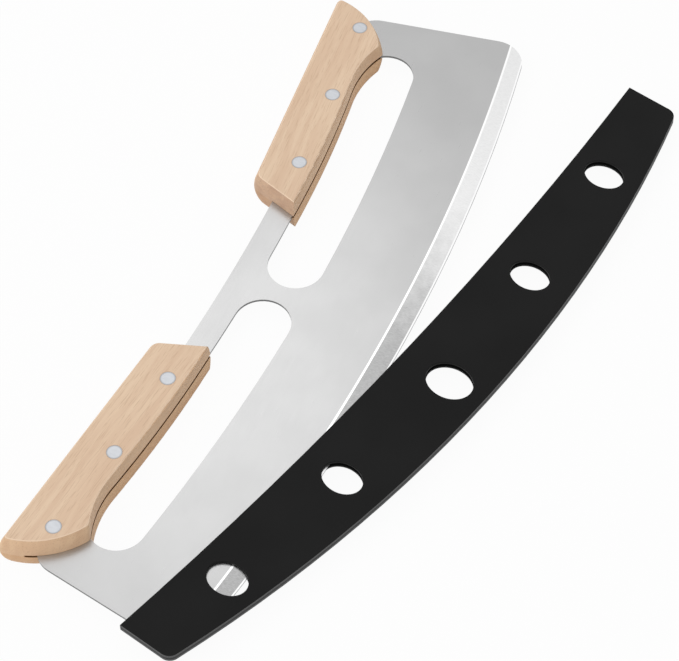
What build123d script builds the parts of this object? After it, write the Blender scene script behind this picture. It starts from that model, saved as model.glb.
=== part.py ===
from build123d import *
import math
import os

os.makedirs("parts", exist_ok=True)

# A two-handed rocking knife for pizza: a long curved steel blade with a finger slot under
# each handle, two wooden handles riveted over its spine, and a plastic cover for its edge.
# Sizes are in millimetres. The knife lies flat, with X along its length, Y from the edge
# towards the spine and Z out of its front face. The origin lies on the steel's front face,
# in the middle of the neck, on the line through the two inner rivets.

# Blade: heights count from the line through the inner rivets, and an inset from its end.
# Its length is that between the straight ends at their widest, before the corners are rounded
blade_thickness = 1.2
blade_length = 355.6
widest_drop = 57.0
end_lean = 10.5
edge_drop = 81.5
edge_radius = 950.0
edge_land = 0.1
sharpened_width = 0.9
shoulder_thickness = 0.45
bevel_drop = 72.4
bevel_radius = 1037.0
corner_radius = 13.9
spine_rise = 3.4
spine_radius = 1050.0
tang_corner_radius = 12.5

# Finger slots, whose middle line is an arc below the rivets
slot_width = 25.6
slot_drop = 21.1
slot_radius = 950.6
slot_start = 17.4
slot_end_inset = 42.7
tang_recess = 1.1

# Handles: one block of wood each, with a kerf for the steel. The back and both ends are crowned
cheek_thickness = 8.15
kerf_gap = 0.05
kerf_end_gap = 0.3
handle_start = 43.5
heel_x = 50.9
heel_y = 13.9
heel_radius = 4.5
back_rise = 5.7
back_crown = 2.5
grip_overhang = 0.5
grip_belly = 0.5
grip_turn_inset = 57.8
grip_radius = 46.7
grip_sweep = 45.0
nose_inset = 50.5
nose_lift = 7.7
nose_radius = 37.0
nose_crown = 2.1
heel_crown = 1.5
tip_radius = 2.6
nose_corner_radius = 1.6
wood_edge_radius = 0.7

# Rivets: a tube with a head from behind and a pin with a head from the front
inner_rivet_x = 65.5
outer_rivet_inset = 26.6
middle_rivet_depth = 5.7
outer_rivet_depth = 5.3
rivet_head_radius = 3.4
rivet_head_height = 2.0
rivet_tube_radius = 2.5
rivet_pin_radius = 1.7
rivet_gap = 0.03
rivet_end_gap = 0.4

# Cover: two walls on a rim, open along its hollow side
cover_wall = 1.2
cover_gap = 0.3
cover_rim = 1.3
cover_end_wall = 1.5
cover_end_gap = 1.2
cover_width = 42.7
cover_hollow_radius = 1930.0
cover_end_lift = 8.1
cover_corner_radius = 5.0
cover_edge_radius = 0.35
edge_depth = 15.1
hole_inset = 46.6
hole_length = 18.8
hole_width = 14.6
middle_hole_length = 21.8
middle_hole_width = 17.7
middle_hole_share = 0.417
hole_row_shift = 3.5

# Swing of the cover: it turns about a point near the left end of the edge
pivot_inset = 44.2
pivot_height = 30.6
cover_swing = 13.25

# Cuts run past what they cut by this much
overrun = 5.0

half_length = blade_length / 2
half_blade = blade_thickness / 2
half_handle = half_blade + cheek_thickness
half_slot = slot_width / 2
slot_end = half_length - slot_end_inset
grip_turn = half_length - grip_turn_inset
nose_x = half_length - nose_inset
outer_rivet_x = half_length - outer_rivet_inset
middle_rivet_x = (inner_rivet_x + outer_rivet_x) / 2


def arc_rise(radius, x):
    """How much an arc that is lowest at the middle has risen at x."""
    return radius - math.sqrt(radius * radius - x * x)


def save(name, shape):
    """Write one node, with the steel's front face at height zero."""
    shape = Pos(0, 0, -half_blade) * shape
    export_step(shape, f"parts/{name}.step")


def under_arc(rise, radius):
    """Everything of the knife that lies below an arc with its middle at a given height."""
    return Rectangle(2 * blade_length, 2 * edge_drop) - Pos(0, rise + radius) * Circle(radius)


# Blade outline

def end_x(y):
    """Half the blade's length at a height."""
    return half_length - math.tan(math.radians(end_lean)) * (y + widest_drop)


def over_arc(drop, radius, shape):
    """What of a shape lies over an arc with its middle so far down."""
    return Pos(0, radius - drop) * Circle(radius) & shape


def blade_outline():
    """The blank, with its lower corners and its two tang corners rounded."""
    top = edge_drop
    bottom = -2 * edge_drop
    ends = Polygon(
        (end_x(top), top),
        (-end_x(top), top),
        (-end_x(bottom), bottom),
        (end_x(bottom), bottom),
        align=None,
    )
    outline = over_arc(edge_drop, edge_radius, ends & under_arc(spine_rise, spine_radius))
    outline = fillet(outline.vertices().sort_by(Axis.Y)[:2], corner_radius)
    return fillet(outline.vertices().sort_by(Axis.Y)[-2:], tang_corner_radius)


def slot_outline(width):
    """A finger slot of the right-hand side, as a band with round ends."""
    start = math.degrees(math.asin(slot_start / slot_radius))
    end = math.degrees(math.asin(slot_end / slot_radius))
    middle_line = CenterArc((0, slot_radius - slot_drop), slot_radius, start - 90, end - start)
    return SlotArc(middle_line, width)


# Handle outline

def grip_point(x):
    """A point just over the slot's upper side, which the handle's finger side follows."""
    return (x, arc_rise(slot_radius - half_slot, x) + half_slot - slot_drop - grip_overhang)


def back_y(x):
    """Height of the handle's straight back at x."""
    return heel_y + math.tan(math.radians(back_rise)) * (x - heel_x)


nose_y = back_y(nose_x) + nose_lift


def handle_outline():
    """The right handle from above, left long at both ends and behind for the crowns to cut."""
    near_x = handle_start - heel_crown - overrun
    far_x = nose_x + nose_radius + nose_crown + overrun
    low_middle = Vector(*grip_point((near_x + grip_turn) / 2)) - Vector(0, grip_belly)
    along_slot = ThreePointArc(grip_point(near_x), low_middle, grip_point(grip_turn))
    heading = along_slot % 1
    grip_centre = along_slot @ 1 + Vector(heading.Y, -heading.X) * grip_radius
    turn_angle = math.degrees(math.atan2(heading.X, -heading.Y))
    round_tip = CenterArc(grip_centre, grip_radius, turn_angle, -grip_sweep)
    low = round_tip @ 1
    behind = back_y(far_x) + back_crown + overrun
    rest = Polyline(low, (far_x, low.Y), (far_x, behind), (near_x, behind), along_slot @ 0)
    return make_face([along_slot, round_tip, rest])


def crowned(crown, start, end):
    """Room for the handle to the right of a line, past which it bulges at mid thickness."""
    radius = (half_handle * half_handle + crown * crown) / (2 * crown)
    inwards = (Align.CENTER, Align.MAX, Align.CENTER)
    roll = Cylinder(radius, 2 * blade_length, rotation=(0, 90, 0))
    room = Box(2 * blade_length, blade_length, 2 * radius, align=inwards)
    line_plane = Plane(origin=start, x_dir=Vector(*end) - Vector(*start), z_dir=(0, 0, 1))
    return line_plane * Pos(0, crown - radius, 0) * (roll + room)


def crowned_nose():
    """Room for the handle inwards of its round outer end, which bulges the same way."""
    low = (nose_radius, -half_handle)
    high = (nose_radius, half_handle)
    bulge = ThreePointArc(low, (nose_radius + nose_crown, 0), high)
    rest = Polyline(high, (0, half_handle), (0, -half_handle), low)
    barrel = revolve(Plane.XZ * make_face([bulge, rest]), Axis.Z)
    inwards = (Align.MAX, Align.CENTER, Align.CENTER)
    room = Box(blade_length, blade_length, 2 * half_handle, align=inwards)
    return Pos(nose_x, nose_y, 0) * (barrel + room)


def right_handle():
    """The solid block of the right handle, with its corners and the rims of its faces eased."""
    heel = (heel_x, heel_y)
    block = extrude(handle_outline(), half_handle, both=True)
    block &= crowned(heel_crown, grip_point(handle_start), heel)
    block &= crowned(back_crown, heel, (nose_x, back_y(nose_x)))
    block &= crowned_nose()
    for place, radius in ((1, heel_radius), (-2, tip_radius), (-1, nose_corner_radius)):
        upright = block.edges().filter_by(lambda edge: edge.bounding_box().size.Z > half_handle)
        block = fillet(upright.sort_by(Axis.X)[place], radius)
    faces = block.faces().sort_by(Axis.Z)
    return fillet(faces[0].edges() + faces[-1].edges(), wood_edge_radius)


# Rivets

def spine_y(x):
    """Height of the blade's spine at x."""
    return spine_rise + arc_rise(spine_radius, x)


rivet_places = {
    "inner": (inner_rivet_x, 0),
    "middle": (middle_rivet_x, spine_y(middle_rivet_x) - middle_rivet_depth),
    "outer": (outer_rivet_x, spine_y(outer_rivet_x) - outer_rivet_depth),
}


def disc(radius, low, high):
    """A round length of metal or of hole between two heights."""
    return Pos(0, 0, low) * Cylinder(radius, high - low, align=(Align.CENTER, Align.CENTER, Align.MIN))


def rivet_holes():
    """What the three rivets of the right handle need in the wood and in the steel."""
    seat = half_handle - rivet_head_height
    hole = disc(rivet_tube_radius + rivet_gap, -half_handle, half_handle)
    back_seat = disc(rivet_head_radius + rivet_gap, -half_handle - overrun, -seat)
    front_seat = disc(rivet_head_radius + rivet_gap, seat, half_handle + overrun)
    return [Pos(*place) * (hole + back_seat + front_seat) for place in rivet_places.values()]


def rivet_socket():
    """The tube, with its head flush in the back of the handle."""
    seat = half_handle - rivet_head_height
    head = disc(rivet_head_radius, -half_handle, -seat)
    tube = disc(rivet_tube_radius, -seat, seat - rivet_end_gap)
    return head + tube - disc(rivet_pin_radius + rivet_gap, -seat, half_handle)


def rivet_pin():
    """The pin that is driven into the tube, with its head flush in the front."""
    seat = half_handle - rivet_head_height
    head = disc(rivet_head_radius, seat, half_handle)
    return head + disc(rivet_pin_radius, rivet_end_gap - seat, seat)


# Blade

def grinding_room():
    """What grinding leaves: full thickness, then the bevel, then the strip at the edge."""
    sheet = Rectangle(blade_length + 2 * overrun, 4 * edge_drop)
    stages = (
        (edge_land / 2, edge_drop, edge_radius),
        (shoulder_thickness / 2, edge_drop - sharpened_width, edge_radius - sharpened_width),
        (half_blade, bevel_drop, bevel_radius),
    )
    faces = [(Pos(0, 0, z) * over_arc(drop, radius, sheet)).face() for z, drop, radius in stages]
    room = extrude(over_arc(edge_drop, edge_radius, sheet), edge_land / 2, both=True)
    for low_face, high_face in zip(faces, faces[1:]):
        step = loft([low_face, high_face], ruled=True)
        room += step + mirror(step, Plane.XY)
    return room


def slot_cut():
    """The right finger slot, and the strip by which the steel stands back inside the wood."""
    nose = Pos(nose_x, nose_y) * Circle(nose_radius)
    straight = Pos((handle_start + nose_x) / 2, 0) * Rectangle(nose_x - handle_start, edge_drop)
    recess = slot_outline(slot_width + 2 * tang_recess) & handle_outline() & (nose + straight)
    return extrude(slot_outline(slot_width) + recess, blade_thickness, both=True)


right_cuts = [slot_cut()] + rivet_holes()
left_cuts = [mirror(cut, Plane.YZ) for cut in right_cuts]
plate = extrude(blade_outline(), half_blade, both=True) & grinding_room()
save("blade", plate - right_cuts - left_cuts)


# Handles

def kerf():
    """The saw cut that the steel lies in: open downwards and at both ends."""
    outline = under_arc(spine_rise + kerf_end_gap, spine_radius)
    return extrude(outline, half_blade + kerf_gap, both=True)


wood = right_handle() - kerf() - rivet_holes()
right_pieces = {"handle": wood}
for spot, (x, y) in rivet_places.items():
    right_pieces[f"{spot}_rivet_socket"] = Pos(x, y) * rivet_socket()
    right_pieces[f"{spot}_rivet_pin"] = Pos(x, y) * rivet_pin()
for name, piece in right_pieces.items():
    save(f"right_{name}", piece)
    save(f"left_{name}", mirror(piece, Plane.YZ))


# Cover: drawn closed, then turned to where it lies half drawn off

corner_half_length = half_length + cover_end_gap + cover_end_wall
cover_end_rise = arc_rise(edge_radius, corner_half_length) + cover_end_lift
cover_radius = (corner_half_length * corner_half_length + cover_end_rise * cover_end_rise) / (
    2 * cover_end_rise
)
half_cavity = half_blade + cover_gap
half_cover = half_cavity + cover_wall


def cover_room(wall, end_wall, corner):
    """All that lies inwards of the cover's round side and ends, less a wall at each."""
    ends = Rectangle(2 * (corner_half_length - end_wall), 2 * cover_radius)
    room = Pos(0, cover_radius) * Circle(cover_radius - wall) & ends
    return fillet(room.vertices().sort_by(Axis.Y)[:2], corner)


def cover_holes():
    """The oval holes in a row a little left of the middle, the middle one larger and lower."""
    middle = Pos(-hole_row_shift, middle_hole_share * cover_width)
    holes = middle * Ellipse(middle_hole_width / 2, middle_hole_length / 2)
    outer_x = corner_half_length - hole_inset
    for x in (-outer_x, -outer_x / 2, outer_x / 2, outer_x):
        low = arc_rise(cover_radius, x)
        high = cover_width + arc_rise(cover_hollow_radius, x)
        holes += Pos(x - hole_row_shift, (low + high) / 2) * Ellipse(hole_width / 2, hole_length / 2)
    return holes


hollow_side = Pos(0, cover_width + cover_hollow_radius) * Circle(cover_hollow_radius)
cover_outline = cover_room(0, 0, cover_corner_radius) - hollow_side
rim_outline = cover_outline - cover_room(cover_rim, cover_end_wall, cover_corner_radius - cover_rim)
front_wall = Pos(0, 0, half_cavity) * extrude(cover_outline - cover_holes(), cover_wall)
front_wall = fillet(front_wall.faces().sort_by(Axis.Z)[-1].edges(), cover_edge_radius)
cover_pieces = {
    "cover_front": front_wall,
    "cover_back": mirror(front_wall, Plane.XY),
    "cover_rim": extrude(rim_outline, half_cavity, both=True),
}
pivot = Pos(pivot_inset - half_length, pivot_height - edge_drop)
closed = Pos(0, -edge_drop - edge_depth)
for name, piece in cover_pieces.items():
    save(name, pivot * Rot(0, 0, -cover_swing) * pivot.inverse() * closed * piece)
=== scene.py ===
import math

import bmesh
import bpy
from mathutils import Matrix, Vector


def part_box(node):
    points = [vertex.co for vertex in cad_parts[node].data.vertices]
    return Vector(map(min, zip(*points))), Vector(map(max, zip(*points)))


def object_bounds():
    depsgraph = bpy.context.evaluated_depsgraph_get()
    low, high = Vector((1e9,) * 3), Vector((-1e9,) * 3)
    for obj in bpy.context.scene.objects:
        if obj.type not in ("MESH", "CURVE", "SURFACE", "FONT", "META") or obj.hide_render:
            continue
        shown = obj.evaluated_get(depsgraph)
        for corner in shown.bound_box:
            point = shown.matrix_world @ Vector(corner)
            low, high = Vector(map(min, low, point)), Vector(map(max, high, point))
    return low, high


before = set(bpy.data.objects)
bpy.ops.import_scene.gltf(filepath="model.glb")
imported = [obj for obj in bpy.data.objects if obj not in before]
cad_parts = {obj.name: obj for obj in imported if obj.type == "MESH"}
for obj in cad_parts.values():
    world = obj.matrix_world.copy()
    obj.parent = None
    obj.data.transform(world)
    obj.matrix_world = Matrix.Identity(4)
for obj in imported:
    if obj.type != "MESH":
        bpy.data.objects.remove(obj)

cad_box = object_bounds()


# Camera, floor and light
# The knife is looked at from above its left-hand end, through a long lens, on a white
# ground. One soft lamp stands where the flat steel mirrors it back to the camera, and a
# far larger one, further off, lights the rest.

camera_place = (-0.64941, -0.3665, 0.96138)
camera_turn = (36.603, 0.937, -65.263)
camera_lens = 146.55
floor_size = 8.0
floor_gap = 0.0002
floor_shade = 0.9
floor_glow = 0.95
steel_lamp = {"place": (0.268, 0.17, 0.52), "target": (-0.02, -0.03, 0.0), "size": 0.27, "power": 0.205}
key_lamp = {"place": (-0.85, 0.6, 1.6), "target": (0.0, -0.04, 0.0), "size": 2.6, "power": 17.5}
world_light = 0.5


def grey(level):
    """A grey as a colour with its alpha."""
    return (level, level, level, 1.0)


white = grey(1.0)


def add_node(tree, kind, inputs=None, **settings):
    """A new node, with some of its settings and inputs given; an input may be a socket."""
    node = tree.nodes.new(kind)
    for name, value in settings.items():
        setattr(node, name, value)
    for name, value in (inputs or {}).items():
        if isinstance(value, bpy.types.NodeSocket):
            tree.links.new(value, node.inputs[name])
        else:
            node.inputs[name].default_value = value
    return node


def calculate(tree, operation, *values):
    """The result of one sum, each of whose values is a number or a socket."""
    inputs = dict(enumerate(values))
    return add_node(tree, "ShaderNodeMath", inputs, operation=operation).outputs[0]


def seen_directly(tree):
    """One where a ray comes from the camera, a mirror or clear glass, and otherwise zero."""
    path = add_node(tree, "ShaderNodeLightPath").outputs
    either = calculate(tree, "MAXIMUM", path["Is Camera Ray"], path["Is Glossy Ray"])
    return calculate(tree, "MAXIMUM", either, path["Is Transmission Ray"])


def add_lamp(name, place, target, size, power):
    """A square soft lamp at a place, with its face towards a target."""
    data = bpy.data.lights.new(name, "AREA")
    data.size = size
    data.energy = power
    lamp = bpy.data.objects.new(name, data)
    bpy.context.scene.collection.objects.link(lamp)
    turn = (Vector(target) - Vector(place)).to_track_quat("-Z", "Y")
    lamp.matrix_world = Matrix.Translation(place) @ turn.to_matrix().to_4x4()


def white_floor():
    """A matt pale floor, seen by the camera as almost plain white with a faint shadow."""
    material = bpy.data.materials.new("white_floor")
    material.use_nodes = True
    tree = material.node_tree
    tree.nodes.clear()
    matt = add_node(tree, "ShaderNodeBsdfDiffuse", {"Color": grey(floor_shade)}).outputs[0]
    glow = add_node(tree, "ShaderNodeEmission", {"Color": white, "Strength": 1.0}).outputs[0]
    share = calculate(tree, "MULTIPLY", seen_directly(tree), floor_glow)
    surface = add_node(tree, "ShaderNodeMixShader", {0: share, 1: matt, 2: glow}).outputs[0]
    add_node(tree, "ShaderNodeOutputMaterial", {"Surface": surface})
    return material


camera_data = bpy.data.cameras.new("camera")
camera_data.lens = camera_lens
camera = bpy.data.objects.new("camera", camera_data)
camera.location = camera_place
camera.rotation_euler = [math.radians(angle) for angle in camera_turn]
bpy.context.scene.collection.objects.link(camera)
bpy.context.scene.camera = camera

floor_mesh = bmesh.new()
bmesh.ops.create_grid(floor_mesh, x_segments=1, y_segments=1, size=floor_size / 2)
bmesh.ops.translate(floor_mesh, verts=floor_mesh.verts, vec=(0, 0, cad_box[0][2] - floor_gap))
floor_data = bpy.data.meshes.new("floor")
floor_mesh.to_mesh(floor_data)
floor_mesh.free()
floor = bpy.data.objects.new("floor", floor_data)
floor.data.materials.append(white_floor())
bpy.context.scene.collection.objects.link(floor)

add_lamp("steel_lamp", **steel_lamp)
add_lamp("key_lamp", **key_lamp)

world = bpy.data.worlds.new("white_world")
world.use_nodes = True
world_tree = world.node_tree
world_tree.nodes.clear()
shown = calculate(world_tree, "MULTIPLY", seen_directly(world_tree), 1.0 - world_light)
strength = calculate(world_tree, "ADD", shown, world_light)
sky = add_node(world_tree, "ShaderNodeBackground", {"Color": white, "Strength": strength}).outputs[0]
add_node(world_tree, "ShaderNodeOutputWorld", {"Surface": sky})
bpy.context.scene.world = world
bpy.context.scene.view_settings.view_transform = "Standard"


# Blade
# One plate of stainless steel with a satin sheet finish along its length. Its rocking edge
# is ground in a broad bevel whose marks run across it. A painted reflection makes the bevel
# brighter towards the right-hand end. Painted highlights give a bright line where the bevel
# starts and a bright strip at the edge, and painted shade gives a dark line at the edge and
# darker cut sides.

bevel_drop = 0.0724
bevel_radius = 1.037
edge_drop = 0.0815
edge_radius = 0.950
bevel_fade = 0.0002
sharpened_width = 0.0009
sharpened_fade = 0.0001
grind_line_width = 0.0007
grind_line_fade = 0.0002
edge_line_width = 0.0004
without_height = (1, 1, 0)
sheet_colours = (grey(0.445), grey(0.475))
ground_colours = (grey(0.33), grey(0.42))
# Painted reflection: bevel colours that brighten towards the right-hand end
reflection_colours = (grey(0.75), grey(0.81))
# Painted highlight on the line where the bevel starts and on the sharpened strip
highlight_colour = grey(0.96)
# Painted shade: darker cut sides of the plate and a dark line at the edge
cut_side_shade_colour = grey(0.17)
edge_shade_colour = (0.22, 0.22, 0.23, 1.0)
steel_roughness = (0.24, 0.36)
steel_relief = {"Strength": 0.04, "Distance": 0.00002}

# Marks and clouds: a stretch below 1 draws the marks out along that axis
streak_detail = 4.0
cloud_detail = 3.0
usual_scale = 100.0
sheet_marks = {"Stretch": (0.03, 1.0, 1.0), "Scale": 2600.0}
bevel_marks = {"Stretch": (1.0, 0.12, 1.0), "Scale": 5200.0}
sheet_clouds = {"Scale": 26.0}
reflection_blotches = {"Scale": 160.0, "Detail": 2.0}
reflection_wander = 0.04

# A look comes in between two limits of its noise, its place or how a surface faces
cloud_limits = (0.3, 0.7)
scratch_limits = (0.35, 0.65)
reflection_limits = (0.0, 0.11)
cut_side_limits = (0.5, 0.8)

# The mixing node has one pair of sockets for two numbers and another for two colours
number_sockets = (2, 3)
colour_sockets = (6, 7)


def new_group(name, inputs, outputs):
    """An empty node group, with what its named inputs give and what its outputs take."""
    group = bpy.data.node_groups.new(name, "ShaderNodeTree")
    for label, kind, value in inputs:
        socket = group.interface.new_socket(label, in_out="INPUT", socket_type="NodeSocket" + kind)
        if value is not None:
            socket.default_value = value
    for label, kind in outputs:
        group.interface.new_socket(label, in_out="OUTPUT", socket_type="NodeSocket" + kind)
    given = add_node(group, "NodeGroupInput").outputs
    result = add_node(group, "NodeGroupOutput").inputs
    return group, given, result


def use_group(tree, group, inputs):
    """The outputs of a group that is placed in a material or in another group."""
    return add_node(tree, "ShaderNodeGroup", inputs, node_tree=group).outputs


def parts_of(tree, vector):
    """The X, Y and Z of a place or a direction."""
    return add_node(tree, "ShaderNodeSeparateXYZ", {0: vector}).outputs


def stretched(tree, vector, sizes):
    """A place with each of its coordinates multiplied by a size."""
    return add_node(tree, "ShaderNodeVectorMath", {0: vector, 1: sizes}, operation="MULTIPLY").outputs[0]


def distance(tree, first, second):
    """How far two places are apart."""
    places = {0: first, 1: second}
    return add_node(tree, "ShaderNodeVectorMath", places, operation="DISTANCE").outputs["Value"]


def noise(tree, place, look):
    """Soft clouds of a given scale and detail."""
    return add_node(tree, "ShaderNodeTexNoise", {"Vector": place, **look}).outputs


def beyond_arc_group():
    """How far a point lies outside an arc that is lowest at the middle of the knife."""
    inputs = [("Vector", "Vector", None), ("Radius", "Float", 1.0), ("Drop", "Float", 0.0)]
    group, given, result = new_group("beyond_arc", inputs, [("Distance", "Float")])
    height = calculate(group, "SUBTRACT", given["Radius"], given["Drop"])
    centre = add_node(group, "ShaderNodeCombineXYZ", {"Y": height}).outputs[0]
    reach = distance(group, stretched(group, given["Vector"], without_height), centre)
    beyond = calculate(group, "SUBTRACT", reach, given["Radius"])
    group.links.new(beyond, result["Distance"])
    return group


def streaks_group():
    """Fine parallel marks: noise that is drawn out along one axis of the surface."""
    inputs = [("Vector", "Vector", None), ("Stretch", "Vector", (1, 1, 1)), ("Scale", "Float", usual_scale)]
    group, given, result = new_group("streaks", inputs, [("Value", "Float")])
    drawn = stretched(group, given["Vector"], given["Stretch"])
    marks = noise(group, drawn, {"Scale": given["Scale"], "Detail": streak_detail})
    group.links.new(marks["Fac"], result["Value"])
    return group


def ramp(tree, value, low, high, start=0.0, end=1.0):
    """A value that goes smoothly from start to end while its input goes from low to high."""
    limits = {"Value": value, "From Min": low, "From Max": high, "To Min": start, "To Max": end}
    return add_node(tree, "ShaderNodeMapRange", limits, interpolation_type="SMOOTHSTEP").outputs["Result"]


def mix_colours(tree, share, first, second, blend="MIX"):
    """The first colour, with a share of the second laid over it or multiplied into it."""
    inputs = {0: share, **dict(zip(colour_sockets, (first, second)))}
    return add_node(tree, "ShaderNodeMix", inputs, data_type="RGBA", blend_type=blend).outputs[2]


def mix_values(tree, share, first, second):
    """A value that goes from the first to the second with the share."""
    inputs = {0: share, **dict(zip(number_sockets, (first, second)))}
    return add_node(tree, "ShaderNodeMix", inputs).outputs[0]


def clouds_group():
    """Soft clouds, for a colour that isn't quite even over a piece."""
    inputs = [("Vector", "Vector", None), ("Scale", "Float", usual_scale)]
    group, given, result = new_group("clouds", inputs, [("Value", "Float")])
    soft = noise(group, given["Vector"], {"Scale": given["Scale"], "Detail": cloud_detail})
    group.links.new(ramp(group, soft["Fac"], *cloud_limits), result["Value"])
    return group


beyond_arc = beyond_arc_group()
streaks = streaks_group()
clouds = clouds_group()


def new_finish(name):
    """A material, its tree, the inputs of its shader and the coordinates of its surface."""
    material = bpy.data.materials.new(name)
    material.use_nodes = True
    tree = material.node_tree
    shader = tree.nodes["Principled BSDF"].inputs
    place = add_node(tree, "ShaderNodeTexCoord").outputs
    return material, tree, shader, place


def add_relief(tree, shader, height, relief):
    """Give a shader the fine relief of a height."""
    bump = add_node(tree, "ShaderNodeBump", {"Height": height, **relief})
    tree.links.new(bump.outputs["Normal"], shader["Normal"])


def blade_steel():
    """Satin sheet, a ground bevel with painted highlights and a painted reflection, and painted shade at
    the cut sides.
    """
    material, tree, shader, place = new_finish("blade_steel")
    here = place["Object"]
    bevel_arc = {"Vector": here, "Radius": bevel_radius, "Drop": bevel_drop}
    edge_arc = {"Vector": here, "Radius": edge_radius, "Drop": edge_drop}
    past_bevel = use_group(tree, beyond_arc, bevel_arc)["Distance"]
    past_edge = use_group(tree, beyond_arc, edge_arc)["Distance"]

    on_bevel = ramp(tree, past_bevel, 0.0, bevel_fade)
    off_line = calculate(tree, "ABSOLUTE", past_bevel)
    half_line = grind_line_width / 2
    on_line = ramp(tree, off_line, half_line, half_line + grind_line_fade, 1.0, 0.0)
    on_strip = ramp(tree, past_edge, -sharpened_width - sharpened_fade, -sharpened_width)
    # Painted highlight on the grind line and the sharpened strip
    highlighted = calculate(tree, "MAXIMUM", on_line, on_strip)
    # Painted shade: a dark line at the edge and darker cut sides
    at_edge = ramp(tree, past_edge, -edge_line_width, 0.0)
    upright = calculate(tree, "ABSOLUTE", parts_of(tree, place["Normal"])["Z"])
    on_cut_side = ramp(tree, upright, *cut_side_limits, 1.0, 0.0)

    along = use_group(tree, streaks, {"Vector": here, **sheet_marks})["Value"]
    across = use_group(tree, streaks, {"Vector": here, **bevel_marks})["Value"]
    marks = mix_values(tree, on_bevel, along, across)
    scratched = ramp(tree, marks, *scratch_limits)
    clouded = use_group(tree, clouds, {"Vector": here, **sheet_clouds})["Value"]
    # Painted reflection: the bevel grows brighter towards its right-hand end, with a blotchy border
    blotches = noise(tree, here, reflection_blotches)["Fac"]
    rightwards = calculate(tree, "MULTIPLY_ADD", blotches, reflection_wander, parts_of(tree, here)["X"])
    in_reflection = ramp(tree, rightwards, *reflection_limits)

    sheet = mix_colours(tree, clouded, *sheet_colours)
    ground = mix_colours(tree, scratched, *ground_colours)
    reflected = mix_colours(tree, scratched, *reflection_colours)
    bevel = mix_colours(tree, in_reflection, ground, reflected)
    colour = mix_colours(tree, on_bevel, sheet, bevel)
    colour = mix_colours(tree, highlighted, colour, highlight_colour)
    colour = mix_colours(tree, at_edge, colour, edge_shade_colour)
    colour = mix_colours(tree, on_cut_side, colour, cut_side_shade_colour)
    tree.links.new(colour, shader["Base Color"])
    tree.links.new(mix_values(tree, marks, *steel_roughness), shader["Roughness"])
    shader["Metallic"].default_value = 1.0
    add_relief(tree, shader, marks, steel_relief)
    return material


def dress(name, material):
    """Give a CAD piece its material."""
    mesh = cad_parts[name].data
    mesh.materials.clear()
    mesh.materials.append(material)


dress("blade", blade_steel())


# Handles
# One block of pale hardwood over each end of the spine, sawn from below for the steel and
# left almost bare. Its grain runs along it, with fine pores. The heel is sawn across, darker
# and flecked. Painted highlights make the eased rims pale. Painted shade darkens the sides,
# more so below the steel, the walls of the saw cut and a ring round each rivet.

grain_turn = 5.7
left_grain_start = (0.0, 0.0, 0.0)
right_grain_start = (0.31, 0.17, 0.05)
grain_clouds = {"Scale": 18.0, "Detail": 2.0}
grain_wander = 0.006
ring_marks = {"Stretch": (0.06, 1.0, 0.5), "Scale": 260.0}
ring_limits = (0.35, 0.66)
patch_marks = {"Stretch": (0.2, 1.0, 1.0), "Scale": 75.0}
patch_limits = (0.48, 0.62)
patch_share = 0.45
fibre_marks = {"Stretch": (0.03, 1.0, 1.0), "Scale": 2400.0}
fibre_limits = (0.42, 0.75)
fibre_share = 0.35
pore_marks = {"Stretch": (0.06, 1.0, 1.0), "Scale": 2300.0}
pore_limits = (0.54, 0.66)
pore_share = 0.42
fleck_marks = {"Stretch": (1.0, 0.4, 1.0), "Scale": 600.0}
fleck_limits = (0.4, 0.6)
between_flecks_share = 0.7

wood_light = (0.93, 0.70, 0.50, 1.0)
wood_mid = (0.84, 0.60, 0.42, 1.0)
wood_dark = (0.62, 0.41, 0.26, 1.0)
# Painted shade: the sides darker and warmer, more so below the steel
side_shade_tint = (1.0, 0.92, 0.82, 1.0)
back_shade_tint = (0.95, 0.89, 0.80, 1.0)
heel_tint = (0.80, 0.78, 0.84, 1.0)
# Painted highlight along the eased rims
rim_highlight_colour = (1.0, 0.76, 0.56, 1.0)
rim_highlight_share = 0.9
# Painted shade in the saw cut
kerf_shade_colour = (0.20, 0.085, 0.025, 1.0)
wood_roughness = 0.55
wood_gloss = 0.35
wood_relief = {"Strength": 0.25, "Distance": 0.0001}

# The eased rim and the side start and end at depths below the nearer face
steel_middle = -0.0006
half_handle = 0.00875
eased_start_depths = (0.00001, 0.00005)
eased_end_depths = (0.0002, 0.0003)
side_depths = (0.0002, 0.00035)
back_fade = 0.0004
heel_reach = 0.053
heel_fade = 0.002
heel_limits = (0.4, 0.6)
half_kerf = 0.0007
kerf_fade = 0.0002
kerf_wall_limits = (0.5, 0.8)
rivet_radius = 0.0034
# Painted shade: a dark ring in the wood round each rivet head
seam_width = 0.0005
seam_shade_share = 0.5
beyond_knife = 1.0


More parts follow.
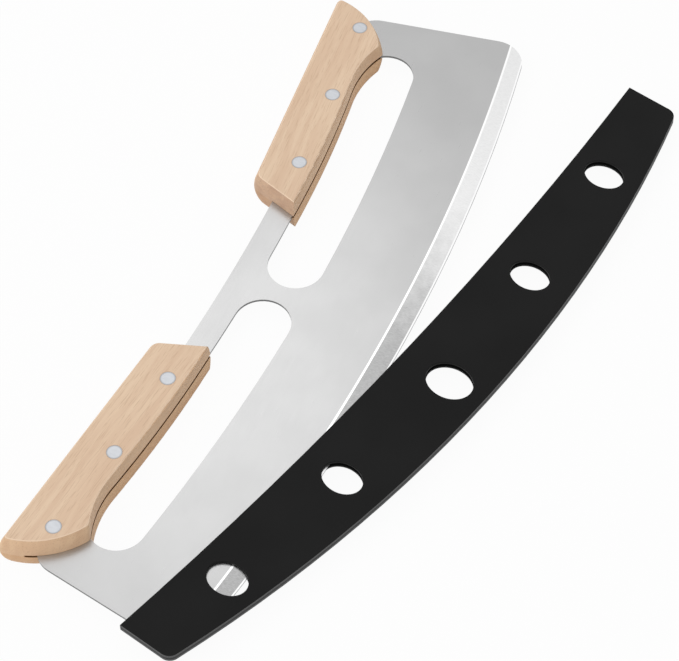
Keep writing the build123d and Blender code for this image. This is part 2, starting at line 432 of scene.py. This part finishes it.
def wood_grain_group():
    """Colour and height of planed wood whose grain runs along X."""
    tones = [("Light", "Color", wood_light), ("Mid", "Color", wood_mid), ("Dark", "Color", wood_dark)]
    inputs = [("Vector", "Vector", None), *tones]
    group, given, result = new_group("wood_grain", inputs, [("Color", "Color"), ("Height", "Float")])
    here = given["Vector"]
    wander = {0: noise(group, here, grain_clouds)["Color"], "Scale": grain_wander}
    shift = add_node(group, "ShaderNodeVectorMath", wander, operation="SCALE").outputs[0]
    bent = add_node(group, "ShaderNodeVectorMath", {0: here, 1: shift}, operation="ADD").outputs[0]

    rings = use_group(group, streaks, {"Vector": bent, **ring_marks})["Value"]
    patches = use_group(group, streaks, {"Vector": bent, **patch_marks})["Value"]
    fibres = use_group(group, streaks, {"Vector": here, **fibre_marks})["Value"]
    pores = use_group(group, streaks, {"Vector": here, **pore_marks})["Value"]
    in_ring = ramp(group, rings, *ring_limits)
    in_patch = ramp(group, patches, *patch_limits, 0.0, patch_share)
    in_fibre = ramp(group, fibres, *fibre_limits, 0.0, fibre_share)
    in_pore = ramp(group, pores, *pore_limits, 0.0, pore_share)

    colour = mix_colours(group, in_ring, given["Light"], given["Mid"])
    colour = mix_colours(group, in_patch, colour, given["Mid"])
    colour = mix_colours(group, in_fibre, colour, given["Mid"])
    colour = mix_colours(group, in_pore, colour, given["Dark"])
    group.links.new(colour, result["Color"])
    group.links.new(calculate(group, "SUBTRACT", fibres, in_pore), result["Height"])
    return group


def rivet_distance_group():
    """How far a point lies from the axis of the nearest rivet, at either end of the knife."""
    inputs = [("Vector", "Vector", None)]
    group, given, result = new_group("rivet_distance", inputs, [("Distance", "Float")])
    parts = parts_of(group, given["Vector"])
    outwards = calculate(group, "ABSOLUTE", parts["X"])
    folded = add_node(group, "ShaderNodeCombineXYZ", {"X": outwards, "Y": parts["Y"]}).outputs[0]
    nearest = beyond_knife
    for spot in ("inner", "middle", "outer"):
        low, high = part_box(f"right_{spot}_rivet_pin")
        axis = ((low.x + high.x) / 2, (low.y + high.y) / 2, 0.0)
        nearest = calculate(group, "MINIMUM", nearest, distance(group, folded, axis))
    group.links.new(nearest, result["Distance"])
    return group


wood_grain = wood_grain_group()
rivet_distance = rivet_distance_group()


def handle_wood(name, turn, start):
    """One handle's wood, with its grain turned and moved so that no two blocks are alike."""
    material, tree, shader, place = new_finish(name)
    here = place["Object"]
    parts = parts_of(tree, here)
    facing = parts_of(tree, place["Normal"])
    upright = calculate(tree, "ABSOLUTE", facing["Z"])
    endways = calculate(tree, "ABSOLUTE", facing["X"])
    outwards = calculate(tree, "ABSOLUTE", parts["X"])
    over_steel = calculate(tree, "SUBTRACT", parts["Z"], steel_middle)
    off_steel = calculate(tree, "ABSOLUTE", over_steel)
    below_face = calculate(tree, "SUBTRACT", half_handle, off_steel)

    on_side = ramp(tree, below_face, *side_depths)
    behind = ramp(tree, parts["Z"], steel_middle - back_fade, steel_middle, 1.0, 0.0)
    on_back = calculate(tree, "MULTIPLY", on_side, behind)
    near_heel = ramp(tree, outwards, heel_reach, heel_reach + heel_fade, 1.0, 0.0)
    on_heel = calculate(tree, "MULTIPLY", ramp(tree, endways, *heel_limits), near_heel)
    flecks = use_group(tree, streaks, {"Vector": here, **fleck_marks})["Value"]
    flecked = ramp(tree, flecks, *fleck_limits, between_flecks_share, 1.0)
    on_flecked_heel = calculate(tree, "MULTIPLY", on_heel, flecked)
    past_face = ramp(tree, below_face, *eased_start_depths)
    before_side = ramp(tree, below_face, *eased_end_depths, rim_highlight_share, 0.0)
    on_rim_highlight = calculate(tree, "MULTIPLY", past_face, before_side)
    by_steel = ramp(tree, off_steel, half_kerf, half_kerf + kerf_fade, 1.0, 0.0)
    in_kerf_shade = calculate(tree, "MULTIPLY", by_steel, ramp(tree, upright, *kerf_wall_limits))
    off_rivet = use_group(tree, rivet_distance, {"Vector": here})["Distance"]
    in_seam_shade = ramp(tree, off_rivet, rivet_radius, rivet_radius + seam_width, seam_shade_share, 0.0)

    lay = {"Vector": here, "Rotation": (0, 0, math.radians(turn)), "Location": start}
    laid = add_node(tree, "ShaderNodeMapping", lay).outputs[0]
    grain = use_group(tree, wood_grain, {"Vector": laid})
    # Painted shade on the sides, more so below the steel
    colour = mix_colours(tree, on_side, grain["Color"], side_shade_tint, "MULTIPLY")
    colour = mix_colours(tree, on_back, colour, back_shade_tint, "MULTIPLY")
    colour = mix_colours(tree, on_flecked_heel, colour, heel_tint, "MULTIPLY")
    # Painted highlight along the eased rims
    colour = mix_colours(tree, on_rim_highlight, colour, rim_highlight_colour)
    # Painted shade on the walls of the saw cut
    colour = mix_colours(tree, in_kerf_shade, colour, kerf_shade_colour)
    # Painted shade in a ring round each rivet head
    colour = mix_colours(tree, in_seam_shade, colour, wood_dark)
    tree.links.new(colour, shader["Base Color"])
    shader["Roughness"].default_value = wood_roughness
    shader["Specular IOR Level"].default_value = wood_gloss
    add_relief(tree, shader, grain["Height"], wood_relief)
    return material


dress("left_handle", handle_wood("left_handle_wood", grain_turn, left_grain_start))
dress("right_handle", handle_wood("right_handle_wood", -grain_turn, right_grain_start))


# Rivets
# Two-piece rivets of pale aluminium, pressed together through wood and steel, with their
# heads turned flush with the handle, faintly scratched, and painted shade towards the rim.

rivet_colours = ((0.505, 0.52, 0.545, 1.0), (0.555, 0.57, 0.595, 1.0))
# Painted shade round the rim of each head
rim_width = 0.0009
rim_shade_colour = (0.27, 0.27, 0.28, 1.0)
rim_shade_share = 0.7
rivet_roughness = (0.45, 0.6)
scuff_marks = {"Stretch": (1.0, 0.3, 1.0), "Scale": 900.0}
scuff_limits = (0.3, 0.7)


def rivet_metal():
    """Scuffed bare metal with painted shade at the rim of each head."""
    material, tree, shader, place = new_finish("rivet_metal")
    here = place["Object"]
    scuffs = use_group(tree, streaks, {"Vector": here, **scuff_marks})["Value"]
    off_rivet = use_group(tree, rivet_distance, {"Vector": here})["Distance"]
    # Painted shade towards the rim of each head
    at_shaded_rim = ramp(tree, off_rivet, rivet_radius - rim_width, rivet_radius, 0.0, rim_shade_share)
    colour = mix_colours(tree, ramp(tree, scuffs, *scuff_limits), *rivet_colours)
    colour = mix_colours(tree, at_shaded_rim, colour, rim_shade_colour)
    tree.links.new(colour, shader["Base Color"])
    tree.links.new(mix_values(tree, scuffs, *rivet_roughness), shader["Roughness"])
    shader["Metallic"].default_value = 1.0
    return material


rivet_finish = rivet_metal()
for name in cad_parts:
    if "_rivet_" in name:
        dress(name, rivet_finish)


# Cover
# A moulded black plastic cover for the edge, with a fine matt skin that catches the light
# only at a low angle. A painted sheen makes its round side and its ends paler, except
# along a dark parting line.

cover_arc_centre = (0.13585, 0.51050, 0.0)
cover_arc_radius = 0.65392
cover_middle = (-0.00945, -0.10654, 0.0)
half_cover_inside = 0.1775
# Painted sheen on the outer sides and ends
sheen_depth = 0.004
sheen_colour = (0.125, 0.125, 0.126, 1.0)
sheen_side_limits = (0.3, 0.7)
parting_width = 0.0008
parting_share = 0.3
cover_colours = (grey(0.007), grey(0.010))
cover_clouds = {"Scale": 20.0}
cover_skin = {"Scale": 2500.0, "Detail": 2.0}
cover_roughness = (0.45, 0.6)
cover_gloss = 0.1
cover_relief = {"Strength": 0.2, "Distance": 0.00003}


def cover_plastic():
    """Matt black, with a painted sheen on the outer sides except along the parting line."""
    material, tree, shader, place = new_finish("cover_plastic")
    here = place["Object"]
    flat = stretched(tree, here, without_height)
    off_centre = distance(tree, flat, cover_arc_centre)
    off_middle = distance(tree, flat, cover_middle)
    half_sheen = sheen_depth / 2
    at_side = ramp(tree, off_centre, cover_arc_radius - sheen_depth, cover_arc_radius - half_sheen)
    at_end = ramp(tree, off_middle, half_cover_inside, half_cover_inside + half_sheen)
    at_outside = calculate(tree, "MAXIMUM", at_side, at_end)
    upright = calculate(tree, "ABSOLUTE", parts_of(tree, place["Normal"])["Z"])
    sideways = ramp(tree, upright, *sheen_side_limits, 1.0, 0.0)
    on_outside = calculate(tree, "MULTIPLY", at_outside, sideways)
    over_parting = calculate(tree, "SUBTRACT", parts_of(tree, here)["Z"], steel_middle)
    off_parting = calculate(tree, "ABSOLUTE", over_parting)
    beside_parting = ramp(tree, off_parting, parting_width / 2, parting_width, parting_share, 1.0)
    # Painted sheen on the outer sides, left out along the parting line
    painted_sheen = calculate(tree, "MULTIPLY", on_outside, beside_parting)

    clouded = use_group(tree, clouds, {"Vector": here, **cover_clouds})["Value"]
    skin = noise(tree, here, cover_skin)["Fac"]
    colour = mix_colours(tree, clouded, *cover_colours)
    colour = mix_colours(tree, painted_sheen, colour, sheen_colour)
    tree.links.new(colour, shader["Base Color"])
    tree.links.new(mix_values(tree, skin, *cover_roughness), shader["Roughness"])
    shader["Specular IOR Level"].default_value = cover_gloss
    add_relief(tree, shader, skin, cover_relief)
    return material


cover_finish = cover_plastic()
for name in ("cover_front", "cover_back", "cover_rim"):
    dress(name, cover_finish)
